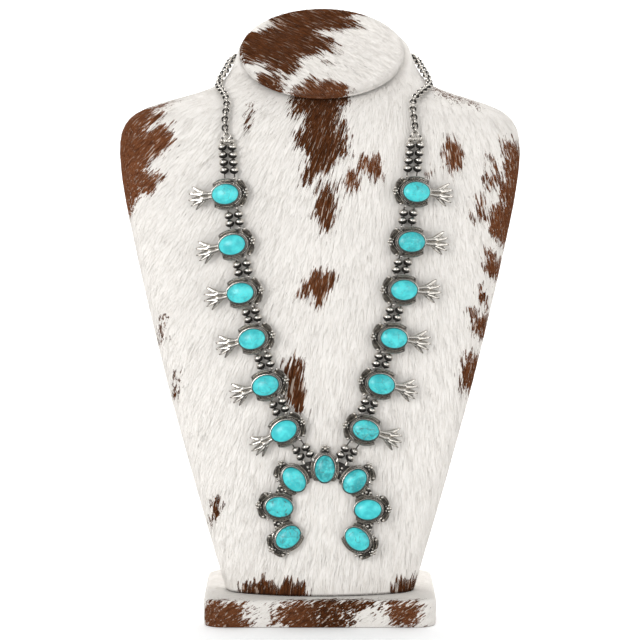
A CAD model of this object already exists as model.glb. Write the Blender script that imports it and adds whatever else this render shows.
import math

import bpy
import numpy as np
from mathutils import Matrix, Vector
from mathutils.bvhtree import BVHTree


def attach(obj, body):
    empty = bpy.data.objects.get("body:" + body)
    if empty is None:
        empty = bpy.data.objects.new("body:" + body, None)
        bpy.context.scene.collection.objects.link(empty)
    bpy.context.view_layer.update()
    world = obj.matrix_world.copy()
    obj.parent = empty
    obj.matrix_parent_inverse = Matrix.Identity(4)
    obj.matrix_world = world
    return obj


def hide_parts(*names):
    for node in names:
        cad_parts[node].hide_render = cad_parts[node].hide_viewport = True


# Squash blossom necklace on a hide-covered neck bust. Shapes are worked out in millimetres in the
# frame's own axes (+Z up, the front faces -Y) and written to the meshes in metres.
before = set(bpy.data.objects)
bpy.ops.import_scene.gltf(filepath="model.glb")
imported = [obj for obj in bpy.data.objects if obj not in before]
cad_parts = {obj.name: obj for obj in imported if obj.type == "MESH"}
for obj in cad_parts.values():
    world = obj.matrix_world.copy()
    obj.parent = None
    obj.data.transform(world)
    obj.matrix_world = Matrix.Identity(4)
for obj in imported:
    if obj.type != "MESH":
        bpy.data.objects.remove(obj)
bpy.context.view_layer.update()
MM = 0.001
BODY = "root"

# Camera and stage
CAMERA_PLACE = (0.0, -2.030, 0.400)
CAMERA_DOWN = math.radians(5.72)
CAMERA_LENS = 172.1
SENSOR = 36.0
# columns: name, place, what it points at, size in metres, watts
SOFTBOXES = [
    ("key", (-1.5, -2.3, 1.00), (0.0, 0.0, 0.2), 1.1, 26.0),
    ("fill", (1.9, -2.0, 0.9), (0.0, 0.0, 0.2), 1.6, 10.0),
    ("sweep", (0.0, 1.0, 2.2), (0.0, 3.0, 0.5), 2.4, 90.0),
]
WORLD_BELOW = 0.18
WORLD_LEVEL = 1.0
WORLD_ABOVE = 0.42
WORLD_STRENGTH = 0.92
STAGE_HALF = 9.0
STAGE_BACK = 3.4
STAGE_BEND = 1.2
STAGE_HIGH = 6.0
STAGE_GLOW = 0.14

# Cut of the neck, and the padded oval on it
CUT_CENTRE = np.array([1.4, 32.5, 370.5])
CUT_SLANT = math.radians(30.0)
CUT_NORMAL = np.array([0.0, -math.sin(CUT_SLANT), math.cos(CUT_SLANT)])
CUT_UP = np.array([0.0, math.cos(CUT_SLANT), math.sin(CUT_SLANT)])

# Settings: sizes of the stones and the castings
STONE_LONG = 18.0
STONE_SHORT = 13.4
STONE_GIRDLE = 1.6
STONE_HEIGHT = 5.4
STONE_GAP = 0.1
PLATE = 1.2
BEZEL_WALL = 0.6
BEZEL_LONG = STONE_LONG / 2 + STONE_GAP
BEZEL_SHORT = STONE_SHORT / 2 + STONE_GAP


def set_points(mesh, points, faces):
    """Writes vertices and triangles from whole arrays."""
    mesh.vertices.add(len(points))
    mesh.vertices.foreach_set("co", np.ascontiguousarray(points * MM, np.float32).ravel())
    mesh.loops.add(3 * len(faces))
    mesh.loops.foreach_set("vertex_index", np.ascontiguousarray(faces, np.int32).ravel())
    mesh.polygons.add(len(faces))
    mesh.polygons.foreach_set("loop_start", np.arange(0, 3 * len(faces), 3, dtype=np.int32))
    mesh.polygons.foreach_set("use_smooth", np.ones(len(faces), bool))
    mesh.update(calc_edges=True)
    mesh.validate()


def add_piece(name, points, faces, material, replaced=(), values=None, smooth_angle=None):
    """A finished piece at the origin: its mesh, its attributes, its material and what it stands for."""
    mesh = bpy.data.meshes.new(name)
    set_points(mesh, points, faces)
    for key, data in (values or {}).items():
        kind = "FLOAT_VECTOR" if data.ndim == 2 else "FLOAT"
        attribute = mesh.attributes.new(key, kind, "POINT")
        attribute.data.foreach_set("vector" if data.ndim == 2 else "value", data.astype(np.float32).ravel())
    if smooth_angle is not None:
        mesh.set_sharp_from_angle(angle=math.radians(smooth_angle))
    mesh.materials.append(material)
    piece = bpy.data.objects.new(name, mesh)
    bpy.context.scene.collection.objects.link(piece)
    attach(piece, BODY)
    if replaced:
        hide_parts(*replaced)
    return piece


def join(parts):
    """One mesh from several parts of (points, faces, polish)."""
    starts = np.cumsum([0] + [len(points) for points, faces, polish in parts])
    points = np.concatenate([part[0] for part in parts])
    faces = np.concatenate([part[1] + start for part, start in zip(parts, starts)])
    polish = np.concatenate([part[2] for part in parts])
    return points, faces, polish


def grid_faces(rows, columns, closed_rows):
    """Triangles of a grid whose columns close on themselves, and its rows too if asked."""
    last = rows if closed_rows else rows - 1
    row, column = np.meshgrid(np.arange(last), np.arange(columns), indexing="ij")
    below = (row + 1) % rows
    beside = (column + 1) % columns
    a, b = row * columns + column, row * columns + beside
    c, d = below * columns + beside, below * columns + column
    return np.concatenate([np.stack([a, b, c], -1).reshape(-1, 3), np.stack([a, c, d], -1).reshape(-1, 3)])


def outwards(points, faces):
    """Turns every face over where the mesh is inside out, which its signed volume tells."""
    a, b, c = (points[faces[:, corner]] for corner in range(3))
    volume = np.einsum("ij,ij->i", a - points.mean(0), np.cross(b - points.mean(0), c - points.mean(0))).sum()
    return faces if volume > 0 else faces[:, ::-1]


def shell(rings, polish, hoop=False):
    """A closed surface from rings of points: closed on itself as a hoop, or with a pole at each end."""
    rows, columns = rings.shape[:2]
    points = rings.reshape(-1, 3)
    shine = np.broadcast_to(polish, (rows, columns)).reshape(-1)
    faces = grid_faces(rows, columns, hoop)
    if not hoop:
        here = np.arange(columns)
        beside = (here + 1) % columns
        count = len(points)
        first = np.stack([np.full(columns, count), beside, here], -1)
        end = (rows - 1) * columns
        last = np.stack([np.full(columns, count + 1), end + here, end + beside], -1)
        points = np.concatenate([points, rings[:1].mean(1), rings[-1:].mean(1)])
        shine = np.concatenate([shine, [shine[:columns].mean(), shine[-columns:].mean()]])
        faces = np.concatenate([faces, first, last])
    return points, outwards(points, faces), shine


def step(value, low, high):
    """Smooth rise from 0 at low to 1 at high."""
    share = np.clip((value - low) / (high - low), 0, 1)
    return share * share * (3 - 2 * share)


# Geometry of the castings, in each one's own frame: u to the blossom, v across, w off the chest

def slab(outline, centre, low, high, edge, shine):
    """A flat plate with bevelled edges: the outline's rings drawn in towards the centre."""
    middle = np.array(centre)
    out = outline - middle
    far = np.linalg.norm(out, axis=1, keepdims=True)
    rows = []
    for inset, height in ((3.0, low), (edge, low), (0, low + edge), (0, high - edge), (edge, high), (3.0, high)):
        ring = middle + out * np.maximum(far - inset, 0.2) / far
        rows.append(np.column_stack([ring, np.full(len(ring), height)]))
    polish = np.array([0.1, 0.2, 0.6, 0.7, 0.35, -0.1])[:, None] * shine
    return shell(np.array(rows), polish)


def bezel():
    """The collet round a stone: a closed wall profile carried round an ellipse."""
    # columns: outwards from the stone's room, height, polish
    profile = np.array([
        (0.00, 0.9, -0.3), (0.00, 2.7, -0.3), (-0.03, 3.1, 0.6), (0.05, 3.3, 1.3), (0.26, 3.42, 1.3),
        (0.50, 3.36, 1.3), (0.64, 3.1, 1.2), (0.64, 2.6, 0.5), (0.60, 1.9, 0.0), (0.64, 1.62, 0.0),
        (0.66, 1.4, 0.0), (0.66, 1.1, -0.3), (0.5, 0.9, -0.3),
    ])
    turn = np.linspace(0, 2 * np.pi, 72, endpoint=False)[:, None]
    away = profile[None, :, 0]
    rings = np.stack([
        (BEZEL_LONG + away) * np.cos(turn), (BEZEL_SHORT + away) * np.sin(turn),
        profile[None, :, 1] + 0 * turn], -1)
    return shell(rings, profile[None, :, 2], hoop=True)


WIRE_WIDTH = 0.70
WIRE_GAP = 0.33
WIRE_STEP = WIRE_WIDTH + WIRE_GAP
WIRE_HEIGHTS = (2.5, 2.2, 1.9)
# columns: how far each wire runs to the blossom's side, and to the crown's side
WIRE_REACH = ((8.3, 5.2), (7.2, 4.8), (5.8, 4.0))
NOTCH_LENGTH = 1.15


def wire(number, side):
    """A chased wire beside the bezel: a round section carried along an ellipse, its ends rounded off."""
    grow = BEZEL_WALL - 0.05 + WIRE_GAP + WIRE_WIDTH / 2 + number * WIRE_STEP
    along, across = BEZEL_LONG + grow, BEZEL_SHORT + grow
    to_blossom, to_crown = WIRE_REACH[number]
    turn = np.linspace(math.acos(to_blossom / along), math.acos(-to_crown / along), 34)[:, None]
    length = (turn - turn[0]) * (along + across) / 2
    end = np.clip(np.minimum(length, length[-1] - length) / 0.5, 0, 1)
    taper = np.sqrt(1 - (1 - end) ** 2) + 0.05
    chased = 1 - 0.10 * np.exp(-(np.cos(np.pi * length / NOTCH_LENGTH) / 0.30) ** 2)
    round_it = np.linspace(0, 2 * np.pi, 8, endpoint=False)[None, :]
    swell = WIRE_WIDTH / 2 * taper * chased
    sideways = swell * np.cos(round_it)
    tall = (WIRE_HEIGHTS[number] - 0.9) / 2
    height = WIRE_HEIGHTS[number] - tall + tall * chased * taper * np.sin(round_it)
    rings = np.stack([(along + sideways) * np.cos(turn), side * (across + sideways) * np.sin(turn), height], -1)
    return shell(rings, step(np.sin(round_it), -0.5, 0.35) * (0.6 + 0.4 * (chased > 0.95)))


# Thin wires round the bezel on the crown's side. columns: distance from the bezel, from and to in degrees
CROWN_WIRES = [(1.75, 122.0, 153.0), (1.75, 207.0, 238.0)]
CROWN_WIRE = 0.34
# Inside them runs a beaded wire: its distance from the bezel, its span in degrees and its balls
BEADED_AWAY = 0.62
BEADED_SPAN = (118.0, 242.0)
BEADED_COUNT = 19
BEADED_RADIUS = 0.47


def crown_wire(away, start, end):
    """A thin round wire beside the bezel, between two directions from the stone."""
    turn = np.radians(np.linspace(start, end, 40))[:, None]
    around = np.linspace(0, 2 * np.pi, 8, endpoint=False)[None, :]
    out = BEZEL_WALL + away + CROWN_WIRE * np.cos(around)
    rings = np.stack([(BEZEL_LONG + out) * np.cos(turn), (BEZEL_SHORT + out) * np.sin(turn),
                      PLATE + 0.35 + CROWN_WIRE * np.sin(around) + 0 * turn], -1)
    return shell(rings, step(np.sin(around), -0.5, 0.2))


LEAF_CENTRE = (10.8, 5.3)
LEAF_LENGTH = 8.8
LEAF_WIDTH = 3.1
LEAF_TURN = math.radians(52.0)


def leaf(side):
    """A chased leaf: rim and midrib are ridges across it, side veins waves along it, and it tapers to both tips."""
    along = np.linspace(-1, 1, 26)[1:-1, None]
    across = np.linspace(-1, 1, 15)[None, :]
    half = LEAF_WIDTH / 2 * (1 - along ** 2) ** 0.8 + 0.05
    rim = np.exp(-((np.abs(across) - 0.84) / 0.24) ** 2)
    rib = 0.75 * np.exp(-(across / 0.17) ** 2)
    wave = np.sin(np.pi * (3.6 * along + 0.9 * np.abs(across)))
    vein = 0.28 * np.exp(-(wave / 0.45) ** 2) * (np.abs(across) < 0.75)
    relief = np.maximum(np.maximum(rim, rib), vein)
    crown = 1.0 + 0.5 * (1 - along ** 2)
    top = PLATE + 0.25 + crown * relief * (1 - along ** 8) * 0.95
    top[:, 0] = top[:, -1] = 0.5
    upper = np.stack([along * LEAF_LENGTH / 2 + 0 * across, half * across, top], -1)
    level = 0 * across[:, :2]
    lower = np.stack([along * LEAF_LENGTH / 2 + level, half * np.array([[0.9, -0.9]]), 0.4 + 0 * along + level], -1)
    rings = np.concatenate([upper, lower], 1)
    shine = np.concatenate([step(relief, 0.05, 0.6), np.zeros((len(along), 2))], 1)
    points, faces, polish = shell(rings, shine)
    return turned(points, side * LEAF_TURN, (-LEAF_CENTRE[0], side * LEAF_CENTRE[1])), faces, polish


def turned(points, angle, middle):
    """Points turned in their own plane, then moved to a middle."""
    cos, sin = math.cos(angle), math.sin(angle)
    u = points[:, 0] * cos - points[:, 1] * sin + middle[0]
    v = points[:, 0] * sin + points[:, 1] * cos + middle[1]
    return np.column_stack([u, v, points[:, 2]])


SMALL_GRANULE = 0.6


def granule(u, v, w, radius):
    """A ball, dark underneath where it meets the plate."""
    fine = radius > SMALL_GRANULE
    rise = np.linspace(-0.5 * np.pi, 0.5 * np.pi, 9 if fine else 6)[1:-1, None]
    turn = np.linspace(0, 2 * np.pi, 12 if fine else 8, endpoint=False)[None, :]
    rings = np.stack([
        u + radius * np.cos(rise) * np.cos(turn), v + radius * np.cos(rise) * np.sin(turn),
        w + radius * np.sin(rise) + 0 * turn], -1)
    return shell(rings, step(np.sin(rise), -0.5, 0.15))


# Squash blossom petals: two stems that fork. columns: root, fork and tip in u, v and w, and the radii there
PETALS = [
    ((8.4, -1.15, 1.1), (15.2, -1.7, 1.5), (22.2, -6.9, 0.4), 1.30, 1.55, 0.62),
    ((8.4, -1.15, 1.1), (15.8, -1.5, 1.6), (24.6, -2.6, 0.8), 1.30, 1.65, 0.62),
    ((8.4, 1.15, 1.1), (15.8, 1.6, 1.6), (25.4, 1.6, 0.2), 1.30, 1.65, 0.64),
    ((8.4, 1.15, 1.1), (15.2, 1.8, 1.5), (24.0, 5.6, 0.6), 1.30, 1.60, 0.62),
    ((12.4, 1.8, 1.2), (15.2, 3.4, 1.2), (20.8, 8.3, 0.0), 1.05, 1.35, 0.56),
]


def petal(root, fork, tip, root_radius, fork_radius, tip_radius):
    """A petal: a keeled section with a groove along its top, straight to the fork and straight to its tip."""
    root, fork, tip = (np.array(place) for place in (root, fork, tip))
    share = np.linspace(0, 1, 26)[:, None]
    bend = 0.5 * (share - 0.5) + 0.5 * np.sqrt((share - 0.5) ** 2 + 0.006)
    path = root + 2 * share * (fork - root) + 2 * bend * (tip - 2 * fork + root)
    aim = np.gradient(path, axis=0)
    aim /= np.linalg.norm(aim, axis=1, keepdims=True)
    sideways = np.cross(aim, [0, 0, 1.0])
    sideways /= np.linalg.norm(sideways, axis=1, keepdims=True)
    upright = np.cross(sideways, aim)
    radii = [root_radius, 0.88 * root_radius, fork_radius, 0.92 * fork_radius,
             0.45 * fork_radius + 0.5 * tip_radius, tip_radius]
    size = np.interp(share[:, 0], [0, 0.25, 0.5, 0.66, 0.86, 1], radii)
    size = size[:, None] * np.sqrt(1 - np.clip((share - 0.93) / 0.08, 0, 1) ** 2 * 0.9)
    around = np.linspace(0, 2 * np.pi, 12, endpoint=False)[None, :]
    groove = 0.26 * np.exp(-((around - np.pi / 2) / 0.24) ** 2)
    groove = groove * step(share, 0.40, 0.60) * (1 - step(share, 0.85, 1))
    swell = size * (1 - groove)
    rings = path[:, None, :] + (swell * 1.12 * np.cos(around))[..., None] * sideways[:, None, :]
    rings = rings + (swell * 0.95 * np.sin(around))[..., None] * upright[:, None, :]
    shine = step(np.sin(around), -0.35, 0.3) * (1 - 2.6 * groove) * (0.45 + 0.55 * step(share, 0.0, 0.2))
    return shell(rings, shine)


def tube(middle, aim, length, radius, bore, shine=0.5):
    """A short bored tube: a closed wall section turned about its axis."""
    aim = np.array(aim) / np.linalg.norm(aim)
    aside = np.cross(aim, [0.3, 0.2, 1.0])
    aside /= np.linalg.norm(aside)
    third = np.cross(aim, aside)
    half = length / 2
    profile = np.array([(bore, -half), (radius - 0.12, -half), (radius, -half + 0.12), (radius, half - 0.12),
                        (radius - 0.12, half), (bore, half)])
    turn = np.linspace(0, 2 * np.pi, 20, endpoint=False)[:, None, None]
    wide, along = profile[None, :, :1], profile[None, :, 1:]
    rings = np.array(middle) + wide * (np.cos(turn) * aside + np.sin(turn) * third) + along * aim
    return shell(rings, np.full((1, 6), shine), hoop=True)


# Balls of the crown, and those at the leaves' ends. columns: away from the stone, aside, radius
GRANULES = [(13.2, 0.0, 1.2), (15.0, 0.0, 1.0), (14.0, 1.95, 1.05), (14.0, -1.95, 1.05), (12.0, 1.5, 0.62),
            (12.0, -1.5, 0.62)]
LEAF_BALLS = [(9.9, 8.5, 1.05), (6.6, 9.8, 1.0)]
FLANGE_TO_BLOSSOM = 8.3
FLANGE_TO_CROWN = 7.8
CROWN_CENTRE = 10.0
CROWN_LONG = 4.6
CROWN_WIDE = 8.8
CROWN_BARE = 3.4


def setting(wires, leaf_sides, ball_sides):
    """One cast setting: plates, bezel, chased wires, leaves and granules."""
    turn = np.linspace(0, 2 * np.pi, 96, endpoint=False)
    long, short = BEZEL_LONG + BEZEL_WALL + wires * WIRE_STEP, BEZEL_SHORT + BEZEL_WALL + wires * WIRE_STEP
    outline = np.column_stack([long * np.cos(turn), short * np.sin(turn)])
    reach = np.where(outline[:, 0] > 0, FLANGE_TO_BLOSSOM, FLANGE_TO_CROWN)
    window = reach / np.maximum(np.abs(outline[:, 0]), 1e-6)
    cut = np.where(np.abs(outline[:, 1]) > 0.75 * short, 1.0, np.minimum(window, 1.0))
    round_outline = np.column_stack([(BEZEL_LONG + 0.7) * np.cos(turn), (BEZEL_SHORT + 0.7) * np.sin(turn)])
    parts = [slab(outline * cut[:, None], (0, 0), 0, PLATE, 0.25, 1), slab(round_outline, (0, 0), 0, PLATE, 0.2, 1)]
    parts.append(bezel())
    parts += [wire(number, side) for number in range(wires) for side in (-1, 1)]
    low, high = (CROWN_WIDE if side in leaf_sides else CROWN_BARE for side in (-1, 1))
    crown_half = np.where(turn < np.pi, high, low)
    crown = np.column_stack([CROWN_LONG * np.cos(turn) - CROWN_CENTRE, crown_half * np.sin(turn)])
    parts.append(slab(crown, (-CROWN_CENTRE, 0), 0, PLATE, 0.25, 1))
    parts += [crown_wire(*row) for row in CROWN_WIRES]
    beaded = BEZEL_WALL + BEADED_AWAY
    for turn_to in np.radians(np.linspace(*BEADED_SPAN, BEADED_COUNT)):
        parts.append(granule((BEZEL_LONG + beaded) * math.cos(turn_to), (BEZEL_SHORT + beaded) * math.sin(turn_to),
                             PLATE + 0.45, BEADED_RADIUS))
    parts += [leaf(side) for side in leaf_sides]
    parts += [granule(-away, aside, PLATE + 0.5 * radius, radius) for away, aside, radius in GRANULES]
    narrower = (len(WIRE_HEIGHTS) - wires) * WIRE_STEP
    for side in ball_sides:
        for away, aside, radius in LEAF_BALLS:
            parts.append(granule(-away, side * (aside - narrower), PLATE + 0.3 * radius, radius))
    return parts


TUBE_PLACE = -3.3
TUBE_DROP = 0.85
TUBE_HALF = 5.0
TUBE_RADIUS = 1.2
BORE_RADIUS = 0.625
COLUMN = 6.5


def blossom_casting():
    """A side casting: its setting, five petals, and the two bored tubes behind it."""
    parts = setting(3, (-1, 1), (-1, 1)) + [petal(*row) for row in PETALS]
    for side in (-1, 1):
        middle = (TUBE_PLACE + side * COLUMN / 2, 0, -TUBE_DROP)
        parts.append(tube(middle, (0, 1, 0), 2 * TUBE_HALF, TUBE_RADIUS, BORE_RADIUS))
    return join(parts)


# The stone is dark with polishing dirt between these heights over its flat back
STONE_DARK_TO = 2.25
STONE_CLEAR_FROM = 2.95


def stone_shape():
    """A cabochon: an upright girdle, then a half ellipsoid, over a flat back."""
    turn = np.linspace(0, 2 * np.pi, 72, endpoint=False)[None, :]
    rise = np.linspace(0, 0.5 * np.pi, 28)[:-1, None]
    dome = STONE_HEIGHT - STONE_GIRDLE
    wide = np.concatenate([[[0.97], [1.0], [1.0]], np.cos(rise)[1:]])
    high = np.concatenate([[[0.0], [0.15], [STONE_GIRDLE]], STONE_GIRDLE + dome * np.sin(rise)[1:]])
    rings = np.stack([
        STONE_LONG / 2 * wide * np.cos(turn), STONE_SHORT / 2 * wide * np.sin(turn),
        PLATE + STONE_GAP + high + 0 * turn], -1)
    return shell(rings, step(high, STONE_DARK_TO, STONE_CLEAR_FROM))


# Frames read back from the solids

def node_mesh(node):
    """A solid's points in millimetres and its triangles, with doubled points joined."""
    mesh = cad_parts[node].data
    points = np.zeros(3 * len(mesh.vertices))
    mesh.vertices.foreach_get("co", points)
    mesh.calc_loop_triangles()
    faces = np.zeros(3 * len(mesh.loop_triangles), np.int64)
    mesh.loop_triangles.foreach_get("vertices", faces)
    points = np.round(points.reshape(-1, 3) / MM, 4)
    points, back = np.unique(points, axis=0, return_inverse=True)
    return points, back.reshape(-1)[faces].reshape(-1, 3)


def flat_frame(node, towards):
    """A stone's frame from its flat back: area-weighted axes of that face, u turned towards a direction."""
    points, faces = node_mesh(node)
    a, b, c = (points[faces[:, corner]] for corner in range(3))
    doubled = np.cross(b - a, c - a)
    area = np.linalg.norm(doubled, axis=1)
    normals = doubled / np.maximum(area, 1e-9)[:, None]
    biggest = normals[np.argmax(area)]
    back = (normals @ biggest > 0.999) & (area > 1e-6)
    if biggest[1] < 0:
        facing = normals[:, 1] > 0.9
        biggest = (normals * area[:, None])[facing].sum(0)
        biggest /= np.linalg.norm(biggest)
        back = normals @ biggest > 0.9995
    normal = -(normals * area[:, None])[back].sum(0)
    normal /= np.linalg.norm(normal)
    corners = np.stack([a[back], b[back], c[back]])
    weight = area[back] / area[back].sum()
    centre = (corners.mean(0) * weight[:, None]).sum(0)
    offset = corners - centre
    second = np.einsum("kni,knj,n->ij", offset, offset, weight) / 12
    total = corners.mean(0) - centre
    second += np.einsum("ni,nj,n->ij", total, total, weight) * 9 / 12
    u = np.linalg.eigh(second)[1][:, 2]
    u = u - normal * (u @ normal)
    u /= np.linalg.norm(u)
    if u @ np.array(towards) < 0:
        u = -u
    return centre - normal * (PLATE + STONE_GAP), u, np.cross(normal, u), normal


def placed(part, origin, u, v, w):
    """A part moved from its own frame to the bust's."""
    points, faces, polish = part
    moved = origin + points[:, :1] * u + points[:, 1:2] * v + points[:, 2:] * w
    return moved, outwards(moved, faces), polish


def solids_of(node):
    """The centre and main directions of every loose solid of a node, by area, smallest spread first."""
    points, faces = node_mesh(node)
    label = np.arange(len(points))
    while True:
        least = label[faces].min(1)
        before = label.copy()
        np.minimum.at(label, faces.ravel(), np.repeat(least, 3))
        label = label[label]
        if (label == before).all():
            break
    corners = points[faces]
    area = np.linalg.norm(np.cross(corners[:, 1] - corners[:, 0], corners[:, 2] - corners[:, 0]), axis=1)
    owner = label[faces[:, 0]]
    found = []
    for name in np.unique(owner):
        own = owner == name
        weight = area[own] / area[own].sum()
        middle = corners[own].mean(1)
        centre = weight @ middle
        spread = ((middle - centre) * weight[:, None]).T @ (middle - centre)
        found.append((centre, np.linalg.eigh(spread)[1].T))
    return found


# Finishes

def add(tree, kind, settings=None, inputs=None):
    """A shader node with its settings, its inputs either values or other nodes' sockets."""
    node = tree.nodes.new(kind)
    for key, value in (settings or {}).items():
        setattr(node, key, value)
    for key, value in (inputs or {}).items():
        if isinstance(value, bpy.types.NodeSocket):
            tree.links.new(value, node.inputs[key])
        else:
            node.inputs[key].default_value = value
    return node


def calc(tree, operation, *values, clamp=False):
    """The result of a maths node."""
    settings = {"operation": operation, "use_clamp": clamp}
    return add(tree, "ShaderNodeMath", settings, dict(enumerate(values))).outputs[0]


def ramp(tree, value, low, high, start=0.0, end=1.0):
    """A smooth change from start at low to end at high."""
    inputs = {"Value": value, "From Min": low, "From Max": high, "To Min": start, "To Max": end}
    return add(tree, "ShaderNodeMapRange", {"interpolation_type": "SMOOTHSTEP"}, inputs).outputs[0]


def blend_colours(tree, share, first, second, kind="MIX"):
    """A colour between two others."""
    node = add(tree, "ShaderNodeMix", {"data_type": "RGBA", "blend_type": kind}, {0: share, 6: first, 7: second})
    return node.outputs[2]


def noise(tree, vector, scale, detail=3.0, rough=0.5, warp=0.0):
    """Soft noise from 0 to 1."""
    inputs = {"Vector": vector, "Scale": scale, "Detail": detail, "Roughness": rough, "Distortion": warp}
    return add(tree, "ShaderNodeTexNoise", {}, inputs).outputs["Fac"]


def scaled(tree, vector, scale):
    """A vector stretched by its three scales."""
    return add(tree, "ShaderNodeVectorMath", {"operation": "MULTIPLY"}, {0: vector, 1: scale}).outputs[0]


def new_group(name, inputs, outputs):
    """An empty node group with named sockets. Sockets are (name, kind, default)."""
    group = bpy.data.node_groups.new(name, "ShaderNodeTree")
    for label, kind, default in inputs:
        socket = group.interface.new_socket(label, in_out="INPUT", socket_type=kind)
        if default is not None:
            socket.default_value = default
    for label, kind in outputs:
        group.interface.new_socket(label, in_out="OUTPUT", socket_type=kind)
    return group, group.nodes.new("NodeGroupInput").outputs, group.nodes.new("NodeGroupOutput").inputs


def place_group(tree, group, inputs):
    """A group set in a material."""
    node = add(tree, "ShaderNodeGroup", {"node_tree": group})
    for key, value in inputs.items():
        if isinstance(value, bpy.types.NodeSocket):
            tree.links.new(value, node.inputs[key])
        else:
            node.inputs[key].default_value = value
    return node.outputs


def rgba(red, green, blue):
    """A colour with full opacity."""
    return (red, green, blue, 1.0)


def make_antique_group():
    """Silver blackened in its hollows: polish decides between black tarnish and bright metal, worn unevenly."""
    group, given, out = new_group(
        "antique_silver",
        [("Position", "NodeSocketVector", None), ("Polish", "NodeSocketFloat", 1.0)],
        [("Color", "NodeSocketColor"), ("Roughness", "NodeSocketFloat"), ("Metallic", "NodeSocketFloat"),
         ("Normal", "NodeSocketVector")])
    clouds = noise(group, given["Position"], 420.0, 4.0, 0.6)
    grime = noise(group, given["Position"], 1500.0, 3.0, 0.6)
    worn = calc(group, "ADD", given["Polish"], calc(group, "MULTIPLY_ADD", clouds, 0.55, -0.28))
    worn = calc(group, "ADD", worn, calc(group, "MULTIPLY_ADD", grime, 0.4, -0.2))
    bright = ramp(group, worn, 0.12, 0.62)
    warm = blend_colours(group, clouds, rgba(0.57, 0.535, 0.485), rgba(0.76, 0.73, 0.68))
    group.links.new(blend_colours(group, bright, rgba(0.022, 0.019, 0.016), warm), out["Color"])
    rough = ramp(group, bright, 0.0, 1.0, 0.62, 0.20)
    group.links.new(calc(group, "MULTIPLY_ADD", grime, 0.12, rough), out["Roughness"])
    group.links.new(ramp(group, bright, 0.0, 0.6, 0.45, 1.0), out["Metallic"])
    height = calc(group, "ADD", calc(group, "MULTIPLY", clouds, 0.6), calc(group, "MULTIPLY", grime, 0.3))
    bump = add(group, "ShaderNodeBump", {}, {"Strength": 0.22, "Distance": 0.0004, "Height": height})
    group.links.new(bump.outputs[0], out["Normal"])
    return group


def new_material(name):
    """An empty material with its shader, output and object position."""
    material = bpy.data.materials.new(name)
    material.use_nodes = True
    tree = material.node_tree
    shader = tree.nodes["Principled BSDF"]
    position = add(tree, "ShaderNodeTexCoord").outputs["Object"]
    return material, tree, shader, position


def antique_silver(name, group, polish=None):
    """Antique silver for a piece with a polish attribute, or with an even polish."""
    material, tree, shader, position = new_material(name)
    if polish is None:
        polish = add(tree, "ShaderNodeAttribute", {"attribute_name": "polish"}).outputs["Fac"]
    made = place_group(tree, group, {"Position": position, "Polish": polish})
    tree.links.new(made["Color"], shader.inputs["Base Color"])
    tree.links.new(made["Roughness"], shader.inputs["Roughness"])
    tree.links.new(made["Metallic"], shader.inputs["Metallic"])
    tree.links.new(made["Normal"], shader.inputs["Normal"])
    return material


def make_turquoise_group():
    """Turquoise: blue and green clouds, a web of brown cracks, pale lime patches and small dark specks."""
    group, given, out = new_group(
        "turquoise",
        [("Position", "NodeSocketVector", None), ("Deep", "NodeSocketFloat", 0.3),
         ("Web", "NodeSocketFloat", 0.4), ("Mottle", "NodeSocketFloat", 0.4)],
        [("Color", "NodeSocketColor"), ("Roughness", "NodeSocketFloat"), ("Normal", "NodeSocketVector")])
    place = given["Position"]
    clouds = noise(group, place, 190.0, 4.0, 0.55, 0.4)
    fine = noise(group, place, 900.0, 4.0, 0.6)
    sky = blend_colours(group, ramp(group, clouds, 0.32, 0.68), rgba(0.030, 0.50, 0.54), rgba(0.075, 0.70, 0.72))
    deep_share = calc(group, "MULTIPLY", given["Deep"], ramp(group, clouds, 0.75, 0.30))
    sky = blend_colours(group, deep_share, sky, rgba(0.006, 0.27, 0.30))
    sky = blend_colours(group, calc(group, "MULTIPLY", ramp(group, fine, 0.45, 0.75), calc(group, "MULTIPLY", given["Mottle"], 0.6)),
                        sky, rgba(0.24, 0.62, 0.58))
    bend = noise(group, place, 330.0, 3.0, 0.6)
    shifted = add(group, "ShaderNodeVectorMath", {"operation": "MULTIPLY_ADD"},
                  {0: add(group, "ShaderNodeTexNoise", {}, {"Vector": place, "Scale": 260.0, "Detail": 3.0}).outputs["Color"],
                   1: (0.0042, 0.0042, 0.0042), 2: place}).outputs[0]
    cell = add(group, "ShaderNodeTexVoronoi", {"feature": "DISTANCE_TO_EDGE"}, {"Vector": shifted, "Scale": 165.0})
    web = calc(group, "MULTIPLY", ramp(group, cell.outputs["Distance"], 0.045, 0.004), ramp(group, bend, 0.42, 0.60))
    web = calc(group, "MULTIPLY", web, given["Web"])
    sky = blend_colours(group, web, sky, rgba(0.055, 0.060, 0.045))
    speck = ramp(group, noise(group, place, 520.0, 2.0, 0.5), 0.70, 0.76)
    sky = blend_colours(group, calc(group, "MULTIPLY", speck, given["Mottle"]), sky, rgba(0.05, 0.07, 0.055))
    group.links.new(sky, out["Color"])
    group.links.new(calc(group, "MULTIPLY_ADD", web, 0.25, 0.30), out["Roughness"])
    bump = add(group, "ShaderNodeBump", {"invert": True}, {"Strength": 0.25, "Distance": 0.0002, "Height": web})
    group.links.new(bump.outputs[0], out["Normal"])
    return group


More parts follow.
